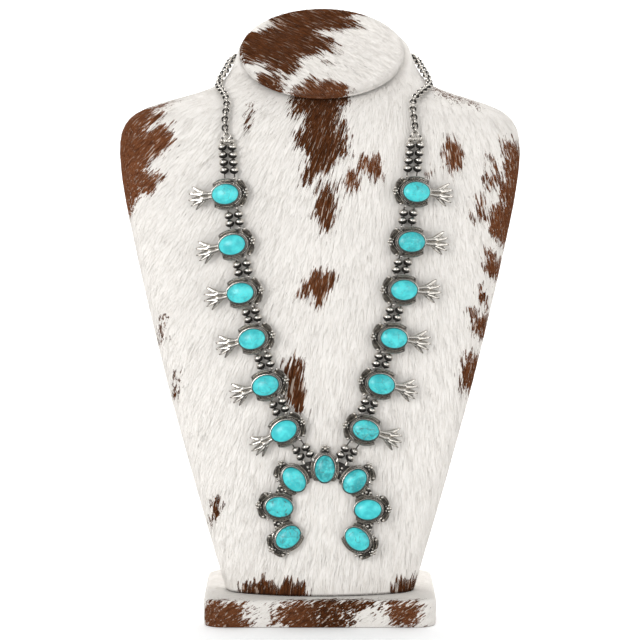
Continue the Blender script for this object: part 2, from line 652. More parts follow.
def turquoise(name, group, deep, web, mottle):
    """One stone's own turquoise."""
    material, tree, shader, position = new_material(name)
    made = place_group(tree, group, {"Position": position, "Deep": deep, "Web": web, "Mottle": mottle})
    clear = add(tree, "ShaderNodeAttribute", {"attribute_name": "clear"}).outputs["Fac"]
    tree.links.new(blend_colours(tree, clear, rgba(0.012, 0.030, 0.028), made["Color"]), shader.inputs["Base Color"])
    tree.links.new(made["Roughness"], shader.inputs["Roughness"])
    tree.links.new(made["Normal"], shader.inputs["Normal"])
    shader.inputs["Coat Weight"].default_value = 0.35
    shader.inputs["Coat Roughness"].default_value = 0.30
    shader.inputs["Specular IOR Level"].default_value = 0.4
    return material


# Browns of the hide, each from its dark hairs to its light ones
LIGHT_BROWN = (rgba(0.080, 0.023, 0.008), rgba(0.27, 0.105, 0.048))
DEEP_BROWN = (rgba(0.008, 0.003, 0.001), rgba(0.115, 0.038, 0.012))


def make_hide_group():
    """Cowhide: white and brown hair. Streaks run along the hair, and ragged hair ends edge every patch."""
    group, given, out = new_group(
        "cowhide",
        [("Lay", "NodeSocketVector", None), ("Patch", "NodeSocketFloat", -10.0), ("Deep", "NodeSocketFloat", 0.0),
         ("Tint", "NodeSocketFloat", 0.5)],
        [("Color", "NodeSocketColor"), ("Roughness", "NodeSocketFloat"), ("Normal", "NodeSocketVector")])
    lay = given["Lay"]
    locks = noise(group, scaled(group, lay, (0.30, 0.060, 0.30)), 1.0, 3.0, 0.6)
    tufts = noise(group, scaled(group, lay, (0.75, 0.085, 0.75)), 1.0, 2.0, 0.5)
    hairs = noise(group, scaled(group, lay, (1.9, 0.17, 1.9)), 1.0, 3.0, 0.6)
    strands = noise(group, scaled(group, lay, (4.2, 0.30, 4.2)), 1.0, 2.0, 0.6)
    flecks = noise(group, scaled(group, lay, (1.0, 0.11, 1.0)), 1.0, 2.0, 0.5, 0.3)
    ragged = calc(group, "MULTIPLY_ADD", locks, 12.0, -6.0)
    ragged = calc(group, "MULTIPLY_ADD", tufts, 17.0, calc(group, "ADD", ragged, -8.5))
    ragged = calc(group, "MULTIPLY_ADD", hairs, 12.0, calc(group, "ADD", ragged, -6.0))
    edge = calc(group, "ADD", given["Patch"], ragged)
    brown_share = ramp(group, edge, -0.6, 0.6)
    light_brown = blend_colours(group, ramp(group, strands, 0.30, 0.68), *LIGHT_BROWN)
    deep_brown = blend_colours(group, ramp(group, hairs, 0.32, 0.68), *DEEP_BROWN)
    brown = blend_colours(group, given["Deep"], light_brown, deep_brown)
    brown = blend_colours(group, ramp(group, tufts, 0.48, 0.70, 0.0, 0.60), brown, rgba(0.030, 0.009, 0.004))
    fleck_share = ramp(group, given["Patch"], 14.0, 2.0, 0.25, 0.85)
    fleck = calc(group, "MULTIPLY", ramp(group, flecks, 0.59, 0.67), fleck_share)
    brown = blend_colours(group, fleck, brown, rgba(0.58, 0.47, 0.39))
    white = blend_colours(group, ramp(group, hairs, 0.28, 0.60), rgba(0.765, 0.73, 0.685), rgba(0.84, 0.815, 0.78))
    white = blend_colours(group, ramp(group, strands, 0.25, 0.70, 0.20, 0.0), white, rgba(0.56, 0.51, 0.46))
    stray = ramp(group, noise(group, scaled(group, lay, (0.85, 0.10, 0.85)), 1.0, 2.0, 0.5), 0.675, 0.745)
    dark_zone = ramp(group, noise(group, scaled(group, lay, (0.030, 0.022, 0.030)), 1.0, 2.0, 0.5), 0.46, 0.62)
    near_patch = ramp(group, given["Patch"], -16.0, -3.0, 0.0, 0.35)
    stray_share = calc(group, "ADD", near_patch, calc(group, "MULTIPLY_ADD", dark_zone, 0.45, 0.06))
    white = blend_colours(group, calc(group, "MULTIPLY", stray, stray_share), white, rgba(0.13, 0.10, 0.085))
    coat = blend_colours(group, brown_share, white, brown)
    darker = calc(group, "MULTIPLY_ADD", given["Tint"], -0.5, 0.25, clamp=True)
    coat = blend_colours(group, darker, coat, rgba(0.02, 0.012, 0.008))
    lighter = calc(group, "MULTIPLY_ADD", given["Tint"], 0.4, -0.2, clamp=True)
    coat = blend_colours(group, lighter, coat, rgba(0.95, 0.92, 0.88))
    group.links.new(coat, out["Color"])
    group.links.new(ramp(group, strands, 0.2, 0.8, 0.85, 0.70), out["Roughness"])
    height = calc(group, "ADD", calc(group, "MULTIPLY", hairs, 0.7), calc(group, "MULTIPLY", strands, 0.35))
    bump = add(group, "ShaderNodeBump", {}, {"Strength": 0.12, "Distance": 0.0006, "Height": height})
    group.links.new(bump.outputs[0], out["Normal"])
    return group


def cowhide(name, group):
    """Short-haired hide that reads the lay of its hair and its patches from the piece."""
    material, tree, shader, position = new_material(name)
    lay = add(tree, "ShaderNodeAttribute", {"attribute_name": "lay"}).outputs["Vector"]
    given = {"Lay": lay}
    for label, key in (("Patch", "patch"), ("Deep", "deep"), ("Tint", "tint")):
        given[label] = add(tree, "ShaderNodeAttribute", {"attribute_name": key}).outputs["Fac"]
    made = place_group(tree, group, given)
    tree.links.new(made["Color"], shader.inputs["Base Color"])
    tree.links.new(made["Roughness"], shader.inputs["Roughness"])
    tree.links.new(made["Normal"], shader.inputs["Normal"])
    shader.inputs["Specular IOR Level"].default_value = 0.0
    return material


def waxed_thread():
    """Dark waxed thread, with a fine twist."""
    material, tree, shader, position = new_material("waxed_thread")
    twist = add(tree, "ShaderNodeTexWave", {"bands_direction": "DIAGONAL"}, {"Vector": position, "Scale": 900.0})
    colour = blend_colours(tree, twist.outputs["Fac"], rgba(0.010, 0.008, 0.007), rgba(0.045, 0.036, 0.030))
    tree.links.new(colour, shader.inputs["Base Color"])
    bump = add(tree, "ShaderNodeBump", {}, {"Strength": 0.5, "Distance": 0.0002, "Height": twist.outputs["Fac"]})
    tree.links.new(bump.outputs[0], shader.inputs["Normal"])
    shader.inputs["Roughness"].default_value = 0.7
    return material


def pale_stage():
    """Plain pale floor and wall."""
    material, tree, shader, position = new_material("pale_stage")
    shader.inputs["Base Color"].default_value = rgba(0.93, 0.93, 0.93)
    shader.inputs["Roughness"].default_value = 0.85
    shader.inputs["Specular IOR Level"].default_value = 0.2
    shader.inputs["Emission Color"].default_value = rgba(1.0, 1.0, 1.0)
    shader.inputs["Emission Strength"].default_value = STAGE_GLOW
    return material


# Stage

def make_camera():
    """The photograph's point of view."""
    data = bpy.data.cameras.new("camera")
    data.sensor_width = SENSOR
    data.lens = CAMERA_LENS
    data.clip_end = 50.0
    camera = bpy.data.objects.new("camera", data)
    camera.location = CAMERA_PLACE
    camera.rotation_euler = (math.pi / 2 - CAMERA_DOWN, 0.0, 0.0)
    bpy.context.scene.collection.objects.link(camera)
    bpy.context.scene.camera = camera


def make_lights():
    """Soft square lamps, and an even pale surround."""
    for name, place, target, size, watts in SOFTBOXES:
        data = bpy.data.lights.new(name, "AREA")
        data.shape = "SQUARE"
        data.size = size
        data.energy = watts
        lamp = bpy.data.objects.new(name, data)
        lamp.location = place
        lamp.rotation_euler = (Vector(target) - Vector(place)).to_track_quat("-Z", "Y").to_euler()
        bpy.context.scene.collection.objects.link(lamp)
    world = bpy.data.worlds.new("surround")
    world.use_nodes = True
    tree = world.node_tree
    background = tree.nodes["Background"]
    direction = add(tree, "ShaderNodeSeparateXYZ", {}, {0: add(tree, "ShaderNodeTexCoord").outputs["Generated"]})
    height = direction.outputs["Z"]
    below, level, above = (rgba(grey, grey, grey) for grey in (WORLD_BELOW, WORLD_LEVEL, WORLD_ABOVE))
    rising = blend_colours(tree, ramp(tree, height, -0.35, 0.15), below, level)
    tree.links.new(blend_colours(tree, ramp(tree, height, 0.30, 0.85), rising, above), background.inputs["Color"])
    background.inputs["Strength"].default_value = WORLD_STRENGTH
    bpy.context.scene.world = world
    bpy.context.scene.view_settings.view_transform = "Standard"


def make_stage(material):
    """The floor bent up into a wall: straight, quarter circle, straight, drawn out sideways."""
    bend = np.linspace(0, np.pi / 2, 13)
    depth = np.concatenate([[-STAGE_HALF], STAGE_BACK - STAGE_BEND + STAGE_BEND * np.sin(bend), [STAGE_BACK]])
    height = np.concatenate([[0], STAGE_BEND * (1 - np.cos(bend)), [STAGE_HIGH]])
    points = np.array([(side * STAGE_HALF, y, z) for side in (-1, 1) for y, z in zip(depth, height)]) / MM
    here = np.arange(len(depth) - 1)
    across = here + len(depth)
    faces = np.concatenate([np.stack([here, across, across + 1], -1), np.stack([here, across + 1, here + 1], -1)])
    mesh = bpy.data.meshes.new("stage")
    set_points(mesh, points, faces)
    mesh.materials.append(material)
    stage = bpy.data.objects.new("stage", mesh)
    stage.visible_glossy = False
    bpy.context.scene.collection.objects.link(stage)


# Hide

# The hair of the chest fans out from a whorl high on the neck. across, up
WHORL = np.array([60.0, 480.0])
WHORL_SCALE = 240.0
# Brown patches of the chest: how dark each is, and its outline, across and up
CHEST_PATCHES = [
    (0.85, [(-19, 352), (-14, 366), (24, 366), (20.5, 345), (15, 338), (13, 332), (12.5, 325), (15, 329.5), (19, 324),
            (18.5, 314.5), (17, 308), (13, 303.5), (9.5, 301.5), (5, 294), (1.5, 296), (-2, 292), (-11, 288),
            (-11, 298.5), (-7.5, 305.5), (-12, 311.5), (-16, 314.5), (-15.5, 323.5), (-10.5, 325.5), (-10, 331.5),
            (-13.5, 334), (-17.5, 331.5), (-19, 337)]),
    (0.75, [(-1.5, 285), (3, 289), (8, 289), (9.5, 282), (12, 274), (10.5, 267), (7.5, 261), (3.5, 256), (1, 261.5),
            (-2, 265), (-5, 268.5), (-3.5, 276)]),
    (0.3, [(18.5, 298), (25, 298.5), (26.5, 292), (25.5, 285.5), (21, 281.5), (16.5, 285), (15.5, 289.5)]),
    (0.3, [(25.5, 301.5), (27, 308), (32, 306), (38.5, 308), (40.5, 300), (40, 292.5), (35.5, 293), (31, 295),
           (26.5, 295)]),
    (0.5, [(-11, 227), (-4, 232), (4, 233), (10.5, 231), (10, 224), (6.5, 218), (2.5, 212), (-1, 207.5), (-6.5, 209),
           (-5.5, 213.5), (-8.5, 217), (-12, 214.5), (-16, 215.5), (-11, 221)]),
    (0.15, [(-94, 344), (-110, 354), (-136, 350), (-150, 320), (-150, 285), (-133, 262), (-125.5, 268), (-122, 276),
            (-117.5, 281), (-112, 280), (-109, 285), (-106, 292), (-104.5, 296.5), (-113, 296), (-112, 303),
            (-106.5, 307), (-101, 310), (-96, 316), (-99, 322.5), (-96, 329), (-103, 327.5), (-110, 325), (-115, 325),
            (-107, 329.5), (-103, 336), (-110.5, 335.5), (-104, 339)]),
    (0.3, [(82, 315), (85, 319.5), (88.5, 316), (93.5, 314), (95.5, 308), (94.5, 300.5), (91.5, 296), (87, 295.5),
           (83, 300), (81.5, 308.5)]),
    (0.3, [(120, 317), (126.5, 316.5), (132, 313), (150, 305), (145, 270), (132, 240), (121, 247), (117, 252),
           (112, 257), (111.5, 261.5), (110.5, 270), (115.5, 275), (120.5, 274.5), (118.5, 283), (121, 289.5),
           (122, 295), (121, 301), (123, 304), (120, 311)]),
    (0.4, [(110.5, 306), (114.5, 305.5), (117.5, 298), (120, 292.5), (118.5, 286.5), (112.5, 286.5), (110, 293.5),
           (115, 294.5), (112.5, 299.5)]),
    (0.4, [(103, 280), (107, 279), (110, 274), (112, 268), (109.5, 260.5), (106.5, 265.5), (103.5, 268), (104.5, 273)]),
    (0.6, [(99, 270), (101.5, 269.5), (104, 263.5), (103.5, 260), (100.5, 262.5), (98.5, 265.5)]),
    (0.3, [(109.5, 246.5), (113.5, 246), (116, 240), (125, 236), (124, 222), (116.5, 224.5), (113, 226.5), (109.5, 232),
           (110.5, 237.5)]),
    (0.5, [(104, 221.5), (107.5, 217.5), (110.5, 212), (111, 205), (107.5, 208), (105.5, 214.5)]),
    (0.5, [(97, 207.5), (102, 206), (105.5, 201), (114, 201), (114, 186), (107.5, 185), (103.5, 189), (99.5, 192),
           (101, 198)]),
    (0.5, [(96, 176), (101, 176.5), (109, 171), (104, 147), (98, 147), (95.5, 152.5), (93, 162), (95.5, 169)]),
    (0.75, [(-13.5, 176), (-11.5, 171.5), (-11, 167), (-13, 162.5), (-10.5, 158), (-7, 153.5), (-8, 148), (-10, 143),
            (-11.5, 139), (-16, 141), (-21, 146), (-23, 157), (-24, 166), (-25.5, 170), (-20.5, 173), (-17.5, 172)]),
    (0.7, [(73, 353), (84, 360), (101, 354), (105, 339.5), (99, 341.5), (91, 343.5), (82.5, 345.5), (77, 349.5)]),
    (0.6, [(70.5, 302), (72, 302), (72.5, 295), (71, 292.5)]),
    (0.85, [(-56, 12), (-53, 19), (-51, 23.5), (-45, 26.5), (-36.5, 29.5), (-30.5, 27), (-23, 28.5), (-17, 30.5),
            (-12.5, 27.5), (-9.5, 22.5), (-9.5, 12)]),
    (0.9, [(47, 12), (47, 25), (52.5, 29), (57.5, 26.5), (63.5, 30.5), (68, 22), (66, 12)]),
    (0.8, [(-47, 338), (-45, 339), (-44.5, 330), (-47, 325)]),
    (0.9, [(-105.5, 200), (-103.5, 200), (-104, 186), (-107, 182)]),
    (0.9, [(-95, 164), (-92.5, 164), (-94, 150), (-97, 146)]),
    (0.9, [(-69, 82), (-66, 83), (-69, 68), (-73, 64)]),
]
# Brown patches of the back, where the photograph doesn't reach
BACK_PATCHES = [
    (0.2, [(-128, 320), (-92, 334), (-52, 322), (-34, 296), (-50, 272), (-86, 262), (-96, 236), (-118, 252), (-140, 292)]),
    (0.4, [(26, 274), (44, 280), (62, 252), (76, 214), (70, 192), (50, 196), (38, 214), (16, 224)]),
    (0.4, [(-40, 188), (-22, 184), (-16, 164), (-26, 140), (-42, 146), (-48, 166)]),
    (0.3, [(70, 326), (92, 334), (112, 318), (104, 304), (80, 306)]),
    (0.6, [(2, 92), (24, 98), (44, 84), (36, 68), (10, 64), (-4, 76)]),
    (0.4, [(-60, 78), (-44, 82), (-38, 60), (-46, 38), (-58, 44)]),
    (0.7, [(-20, 352), (-16, 392), (28, 394), (30, 356), (18, 330), (2, 322), (-10, 334)]),
]
# Brown patches of the cap, in its own plane: how dark each is, and its outline, across and up the slant
CAP_PATCHES = [
    (0.75, [(-58, 0), (-56, 24), (-46, 22), (-33.5, 30), (-41, 44), (-16, 60), (4, 62), (22, 58), (34, 46),
            (26.5, 43.5), (18.5, 41), (24.5, 35.5), (20, 34), (26, 26), (17, 28), (12.5, 22.5), (5, 22.5),
            (-2, 23.5), (-0.5, 15.5), (6.5, 12.5), (12.5, 2.5), (5, 2.5), (11.5, -6), (4, -6), (-2, -4.5),
            (0.5, -13), (-7, -11.5), (-14.5, -14.5), (-14.5, -26), (-21.5, -37.5), (-27.5, -32), (-36, -27.5),
            (-37, -20.5), (-52, -18)]),
    (0.7, [(-45.5, -34), (-40.5, -31), (-29, -35), (-25.5, -48), (-24.5, -65), (-38.5, -65), (-52.5, -47)]),
    (0.35, [(-22.5, -53), (-12.5, -42.5), (-9, -38), (-2, -42.5), (4.5, -39.5), (10, -42.5), (18.5, -52.5),
            (23.5, -69), (-22.5, -69)]),
    (0.8, [(0.5, -15.5), (7.5, -20), (7, -22), (1, -18)]),
]
# Brown patches of the base's front: how dark each is, and its outline, across and up
BASE_PATCHES = [
    (0.4, [(-84, 18.5), (-84, -4), (-43, -4), (-44, 1), (-48.5, 4.5), (-49.5, 9), (-42, 13), (-45, 16), (-66, 17.5)]),
    (0.4, [(-32.5, 9.5), (-29.5, 13), (-31.5, 14), (-23, 17), (-8, 19), (0, 12), (0, -4), (-27, -4), (-26.5, 2.5)]),
    (0.95, [(-6, 19), (20, 20), (38, 18), (35, 13), (27.5, 11), (24.5, 13), (18.5, 9), (12, 4.5), (22.5, 1.5), (22, -4),
            (-8, -4), (-2, 8)]),
    (0.4, [(41.5, 8.5), (46.5, 14), (47.5, 17), (67, 17), (69.5, 13), (67.5, 8), (69.5, 3.5), (64, 0.5), (48.5, 0.5),
           (47.5, 4.5)]),
]
OUTSIDE = -40.0


def depth_inside(across, up, outline):
    """How far each point lies inside a closed outline, in millimetres; outside it is below nought."""
    corners = np.array(outline, float)
    nearest = np.full(across.shape, np.inf)
    crossings = np.zeros(across.shape, bool)
    for (x, z), (to_x, to_z) in zip(corners, np.roll(corners, -1, axis=0)):
        run, rise = to_x - x, to_z - z
        share = np.clip(((across - x) * run + (up - z) * rise) / (run * run + rise * rise), 0, 1)
        nearest = np.minimum(nearest, np.hypot(across - x - share * run, up - z - share * rise))
        if rise != 0:
            crossings ^= ((z > up) != (to_z > up)) & (across < x + (up - z) * run / rise)
    return np.where(crossings, nearest, -nearest)


def patch_fields(across, up, patches):
    """How far inside a brown patch each point is, in millimetres, and how dark that patch is."""
    inside = np.full(across.shape, OUTSIDE)
    dark = np.zeros(across.shape)
    for darkness, outline in patches:
        depth = np.maximum(depth_inside(across, up, outline), OUTSIDE)
        weight = step(depth - inside, -3.0, 3.0)
        dark = dark * (1 - weight) + darkness * weight
        inside = np.maximum(inside, depth)
    return inside, dark


def bust_tree():
    """The search tree of the chest's solid, in millimetres."""
    points, faces = node_mesh("bust_form")
    return BVHTree.FromPolygons(points.tolist(), faces.tolist())


# The line that the chest's surface is measured from. columns: height, its depth there, half width, half depth
CORE = np.array([
    (18.0, -17.0, 62.0, 27.0),
    (142.0, -1.6, 98.0, 32.0),
    (294.0, 17.2, 132.0, 37.0),
    (320.0, 19.8, 132.0, 38.0),
    (345.0, 26.0, 90.0, 36.0),
    (366.0, 37.0, 62.0, 34.0),
    (396.0, 45.5, 56.0, 34.0),
])
CORE_ACROSS = 1.5
CHEST_ROWS = 200
CHEST_COLUMNS = 260
CHEST_LOW = 18.35
# The rim at the cut is found by this many steps
TOP_SEARCHES = 6
HEM = 1.6


def chest_surface():
    """The hide over the solid: on each column a sight line from outside finds the surface, from hem to cut."""
    tree = bust_tree()
    around = np.linspace(0, 2 * np.pi, CHEST_COLUMNS, endpoint=False) - np.pi / 2
    top = np.full(CHEST_COLUMNS, 365.0)
    for _ in range(TOP_SEARCHES):
        hits = sight(tree, around, top)
        top = CUT_CENTRE[2] - 0.35 + math.tan(CUT_SLANT) * (hits[:, 1] - CUT_CENTRE[1])
    share = np.linspace(0, 1, CHEST_ROWS)[:, None]
    height = CHEST_LOW + (top[None, :] - CHEST_LOW) * share
    points = np.array([sight(tree, around, row) for row in height])
    weights = np.exp(-0.5 * (np.arange(-5, 6) / 2.2) ** 2)
    weights /= weights.sum()
    padded = np.concatenate([2 * points[:1] - points[5:0:-1], points, 2 * points[-1:] - points[-2:-7:-1]])
    smooth = sum(weight * padded[offset:offset + CHEST_ROWS] for offset, weight in enumerate(weights))
    return smooth


def sight(tree, around, heights):
    """The surface met by level sight lines towards the core, one for each direction and height."""
    depth, wide, deep = (np.interp(heights, CORE[:, 0], CORE[:, column]) for column in (1, 2, 3))
    away = np.stack([wide * np.cos(around), deep * np.sin(around), 0 * around], -1)
    middle = np.stack([np.full(len(around), CORE_ACROSS), depth, heights], -1)
    start = middle + 6 * away
    found = np.empty_like(start)
    for number, (place, aim) in enumerate(zip(start, -away)):
        hit = tree.ray_cast(Vector(place), Vector(aim).normalized())[0]
        found[number] = hit if hit is not None else middle[number] + away[number]
    return found


def chest_values(points, normals):
    """Lay of the hair and the patches: the hair runs straight away from the whorl."""
    front = step(-normals[..., 1], -0.25, 0.25)
    x, y, z = points[..., 0], points[..., 1], points[..., 2]
    out = np.stack([x - WHORL[0], z - WHORL[1]], -1)
    far = np.linalg.norm(out, axis=-1)
    angle = np.arctan2(out[..., 0], -out[..., 1])
    lean = np.interp(z, CORE[:, 0], CORE[:, 1])
    lay = np.stack([WHORL_SCALE * angle, WHORL_SCALE * np.log(far / WHORL_SCALE), 0.8 * (y - lean)], -1)
    on_front = patch_fields(x, z, CHEST_PATCHES)
    on_back = patch_fields(x, z, BACK_PATCHES)
    patch = front * on_front[0] + (1 - front) * on_back[0]
    dark = front * on_front[1] + (1 - front) * on_back[1]
    aim = np.stack([out[..., 0], 0 * far, out[..., 1]], -1) / far[..., None]
    return lay, patch, dark, aim


def point_normals(points, faces):
    """Normals of the points: the area-weighted mean of their faces' normals."""
    a, b, c = (points[faces[:, corner]] for corner in range(3))
    facing = np.cross(b - a, c - a)
    normals = np.zeros_like(points)
    for corner in range(3):
        np.add.at(normals, faces[:, corner], facing)
    return normals / np.maximum(np.linalg.norm(normals, axis=1, keepdims=True), 1e-12)


HAIR_RADIUS = 0.055
HAIR_FLOOR = 0.3


def hair(rng, points, faces, values, aim, count, length, keep):
    """Short lying hairs: spikes on faces picked by area, each with the colour of the place it grows from."""
    a, b, c = (points[faces[:, corner]] for corner in range(3))
    area = np.linalg.norm(np.cross(b - a, c - a), axis=1) * keep
    face = rng.choice(len(faces), count, p=area / area.sum())
    first, second = np.sqrt(rng.random(count)), rng.random(count)
    share = np.stack([1 - first, first * (1 - second), first * second], -1)

    def at(data):
        corners = data[faces[face]]
        return np.einsum("nk,nk...->n...", share, corners)

    normals = at(point_normals(points, faces))
    normals /= np.linalg.norm(normals, axis=1, keepdims=True)
    root = at(points)
    lie = at(aim) + rng.normal(0, 0.13, (count, 3))
    lie -= normals * np.einsum("ij,ij->i", lie, normals)[:, None]
    lie /= np.maximum(np.linalg.norm(lie, axis=1, keepdims=True), 1e-9)
    aside = np.cross(normals, lie)
    lengths = length * (0.7 + 0.6 * rng.random((count, 1)))
    rise = 0.02 + 0.05 * rng.random((count, 1)) ** 2
    thick = HAIR_RADIUS * (0.7 + 0.6 * rng.random((count, 1)))
    tip = root + lengths * lie + lengths * rise * normals
    tip[:, 2] = np.maximum(tip[:, 2], HAIR_FLOOR)
    spikes = np.stack([root - thick * aside, root + thick * aside, root + 0.7 * thick * normals, tip], 1)
    start = 4 * np.arange(count)[:, None, None]
    corners = np.array([[0, 2, 1], [0, 1, 3], [1, 2, 3], [2, 0, 3]])
    hair_faces = (start + corners[None]).reshape(-1, 3)
    grown = {key: np.repeat(at(data), 4, axis=0) for key, data in values.items()}
    grown["tint"] = np.repeat(np.clip(rng.normal(0.5, 0.09, count), 0, 1), 4)
    return spikes.reshape(-1, 3), hair_faces, grown


# Shade of the coat: 0.5 is as the shader gives it, less is darker and more is lighter
SEAM_TINT = -1.3
BASE_TONE = 0.34


def hide_piece(name, node, points, faces, lay, patch, dark, seam, aim, material, strands, tone=0.5):
    """A covered form and its hair. Strands are (piece name, how many, which faces count)."""
    values = {"lay": lay, "patch": patch, "deep": dark, "tint": np.where(seam, SEAM_TINT, tone)}
    add_piece(name, points, faces, material, (node,), values)
    for number, (label, count, length, keep) in enumerate(strands):
        rng = np.random.default_rng(len(label) + 100 * number + count)
        hairs = hair(rng, points, faces, values, aim, count, length, keep)
        add_piece(label, hairs[0], hairs[1], material, (), hairs[2])


def make_chest(material):
    """The covered chest, shoulders and neck, closed under the hem and at the cut."""
    surface = chest_surface()
    low = surface[:1]
    core_low = low.mean(1, keepdims=True)
    drops = ((0.4, -0.1), (1 - HEM / 40, -0.12))
    under = [core_low + (low - core_low) * share + [0, 0, drop] for share, drop in drops]
    high = surface[-1:]
    core_high = high.mean(1, keepdims=True)
    over = [core_high + (high - core_high) * share for share in (0.96, 0.5)]
    rings = np.concatenate(under + [surface] + over)
    points, faces, polish = shell(rings, np.ones((1, 1)))
    normals = point_normals(points, faces)
    lay, patch, dark, aim = chest_values(points, normals)
    facing = normals[faces].mean(1)
    middle = points[faces].mean(1)
    open_faces = (middle[:, 2] > CHEST_LOW + 0.5) & ((middle - CUT_CENTRE) @ CUT_NORMAL < -0.9)
    front = open_faces * (facing[:, 1] < 0.1)
    back = open_faces * (facing[:, 1] >= 0.1)
    seam = points[:, 2] < CHEST_LOW + 0.7
    hide_piece("hide_chest", "bust_form", points, faces, lay, patch, dark, seam, aim, material, [
        ("hair_chest_front", 39000, 7.0, front.astype(float)),
        ("hair_chest_back", 17000, 7.0, back.astype(float))])


CAP_RADIUS = 55.3
CAP_THICK = 7.0
CAP_ROUND = 3.3
CAP_CROWN = 1.0
CAP_HAIR = np.array([0.66, -0.75])


def make_cap(material):
    """The padded oval: a round-edged profile, a little crowned, turned about the cut's normal."""
    bend = np.linspace(-np.pi / 2, np.pi / 2, 15)
    side = CAP_RADIUS - CAP_ROUND + CAP_ROUND * np.cos(bend)
    rise = 0.2 + CAP_ROUND * (1 + np.sin(bend)) * CAP_THICK / (2 * CAP_ROUND)
    inner = np.linspace(1, 0, 25)[1:-1] * side[-1]
    top = rise[-1] + CAP_CROWN * (1 - (inner / side[-1]) ** 2)
    under = side[0] * np.array([0.35, 0.7])
    out = np.concatenate([under, side, inner])
    up = np.concatenate([[0.2, 0.2], rise, top])
    turn = np.linspace(0, 2 * np.pi, 200, endpoint=False)
    p = out[:, None] * np.cos(turn)
    q = out[:, None] * np.sin(turn)
    rings = CUT_CENTRE + p[..., None] * np.array([1.0, 0, 0]) + q[..., None] * CUT_UP
    rings = rings + up[:, None, None] * CUT_NORMAL
    points, faces, polish = shell(rings, np.ones((1, 1)))
    local = points - CUT_CENTRE
    p, q, w = local[:, 0], local @ CUT_UP, local @ CUT_NORMAL
    lay = np.stack([p * -CAP_HAIR[1] + q * CAP_HAIR[0], p * CAP_HAIR[0] + q * CAP_HAIR[1], w], -1) + [0, 400, 0]
    lay[:, 0] += 3.0 * np.sin(lay[:, 1] / 17.0)
    patch, dark = patch_fields(p, q, CAP_PATCHES)
    aim = np.tile(CAP_HAIR[0] * np.array([1.0, 0, 0]) + CAP_HAIR[1] * CUT_UP, (len(points), 1))
    normals = point_normals(points, faces)
    keep = (normals[faces].mean(1) @ CUT_NORMAL > -0.3).astype(float)
    hide_piece("hide_cap", "bust_cap", points, faces, lay, patch, dark, w < 0.9, aim, material, [
        ("hair_cap", 11000, 6.0, keep)])


BASE_HALF = np.array([76.5, 58.0])
BASE_HEIGHT = 18.0
BASE_CORNER = 14.0
BASE_EDGE = 2.4
BASE_HAIR = np.array([0.80, 0.30, 0.50])


def make_base(material):
    """The covered block: a round-cornered outline drawn in over a round top edge."""
    turn = np.linspace(0, 2 * np.pi, 240, endpoint=False)
    square = BASE_HALF - BASE_CORNER
    corner = np.column_stack([np.cos(turn), np.sin(turn)])
    soft = np.tanh(corner * 9.0) * square
    outline = soft + BASE_CORNER * corner
    bend = np.linspace(0, np.pi / 2, 8)
    inset = np.concatenate([[BASE_CORNER, 0.5, 0, 0], BASE_EDGE * (1 - np.cos(bend)), [6.0]])
    rise = np.concatenate([[0, 0, 0.6, 9.0], BASE_HEIGHT - BASE_EDGE + BASE_EDGE * np.sin(bend), [BASE_HEIGHT]])
    rings = []
    for draw, height in zip(inset, rise):
        ring = soft + (BASE_CORNER - draw) * corner if draw <= BASE_CORNER else soft
        rings.append(np.column_stack([ring, np.full(len(ring), height)]))
    for share in (0.8, 0.55, 0.3):
        ring = (soft + (BASE_CORNER - 6.0) * corner) * share
        rings.append(np.column_stack([ring, np.full(len(turn), BASE_HEIGHT)]))
    points, faces, polish = shell(np.array(rings), np.ones((1, 1)))
    along = BASE_HAIR / np.linalg.norm(BASE_HAIR)
    level = np.cross(along, [0, 0, 1.0])
    level /= np.linalg.norm(level)
    third = np.cross(along, level)
    lay = np.stack([points @ third, points @ along, points @ level], -1) + [0, 900, 0]
    front = step(-points[:, 1], 38.0, 56.0)
    patch, dark = patch_fields(points[:, 0], points[:, 2], BASE_PATCHES)
    patch = front * patch + (1 - front) * OUTSIDE / 4
    aim = np.tile(-along, (len(points), 1))
    normals = point_normals(points, faces)
    keep = (normals[faces].mean(1)[:, 2] > -0.5).astype(float) * (points[faces].mean(1)[:, 2] > 1.5)
    hide_piece("hide_base", "bust_base", points, faces, lay, patch, dark, points[:, 2] < 0.5, aim, material, [
        ("hair_base", 10000, 5.0, keep)], BASE_TONE)


# Necklace

def make_castings(silver, turquoises):
    """Every side casting with its stone, where the solid's stone is."""
    casting = blossom_casting()
    cabochon = stone_shape()
    for name, side in (("left", -1), ("right", 1)):
        for number in range(1, 7):
            origin, u, v, w = flat_frame(f"stone_{name}_{number}", (side, 0, 0))
            if side > 0:
                v = -v
            points, faces, polish = placed(casting, origin, u, v, w)
            add_piece(f"casting_{name}_{number}", points, faces, silver,
                      (f"blossom_{name}_{number}",), {"polish": polish}, 40)
            points, faces, polish = placed(cabochon, origin, u, v, w)
            add_piece(f"cabochon_{name}_{number}", points, faces, turquoises[name][number - 1],
                      (f"stone_{name}_{number}",), {"clear": polish}, 50)


NAJA_WIDE = 29.2
NAJA_HIGH = 27.9
NAJA_STEP = 43.0
CRESCENT = (23.0, 34.0)
# Balls on the crescent between two settings. columns: distance from the naja's middle, sideways, radius
FILLERS = [(28.2, 0.0, 0.75), (30.7, 0.0, 1.0), (33.0, -1.5, 1.0), (33.0, 1.5, 1.0), (31.9, -2.2, 0.5), (31.9, 2.2, 0.5),
           (29.4, -0.9, 0.5), (29.4, 0.9, 0.5)]
FILLERS_BESIDE_LUGS = 2
LUG_RADIUS = 34.6
LUG_TURN = math.radians(19.0)
LUG_LENGTH = 2.6
LUG_HEIGHT = 2.3


def naja_setting_place(turn, part):
    """A setting moved to its place on the crescent, its crown outwards."""
    angle = math.radians(turn)
    points, faces, polish = part
    middle = (NAJA_WIDE * math.sin(angle), NAJA_HIGH * math.cos(angle))
    return turned(points, math.radians(-90 - turn), middle), faces, polish


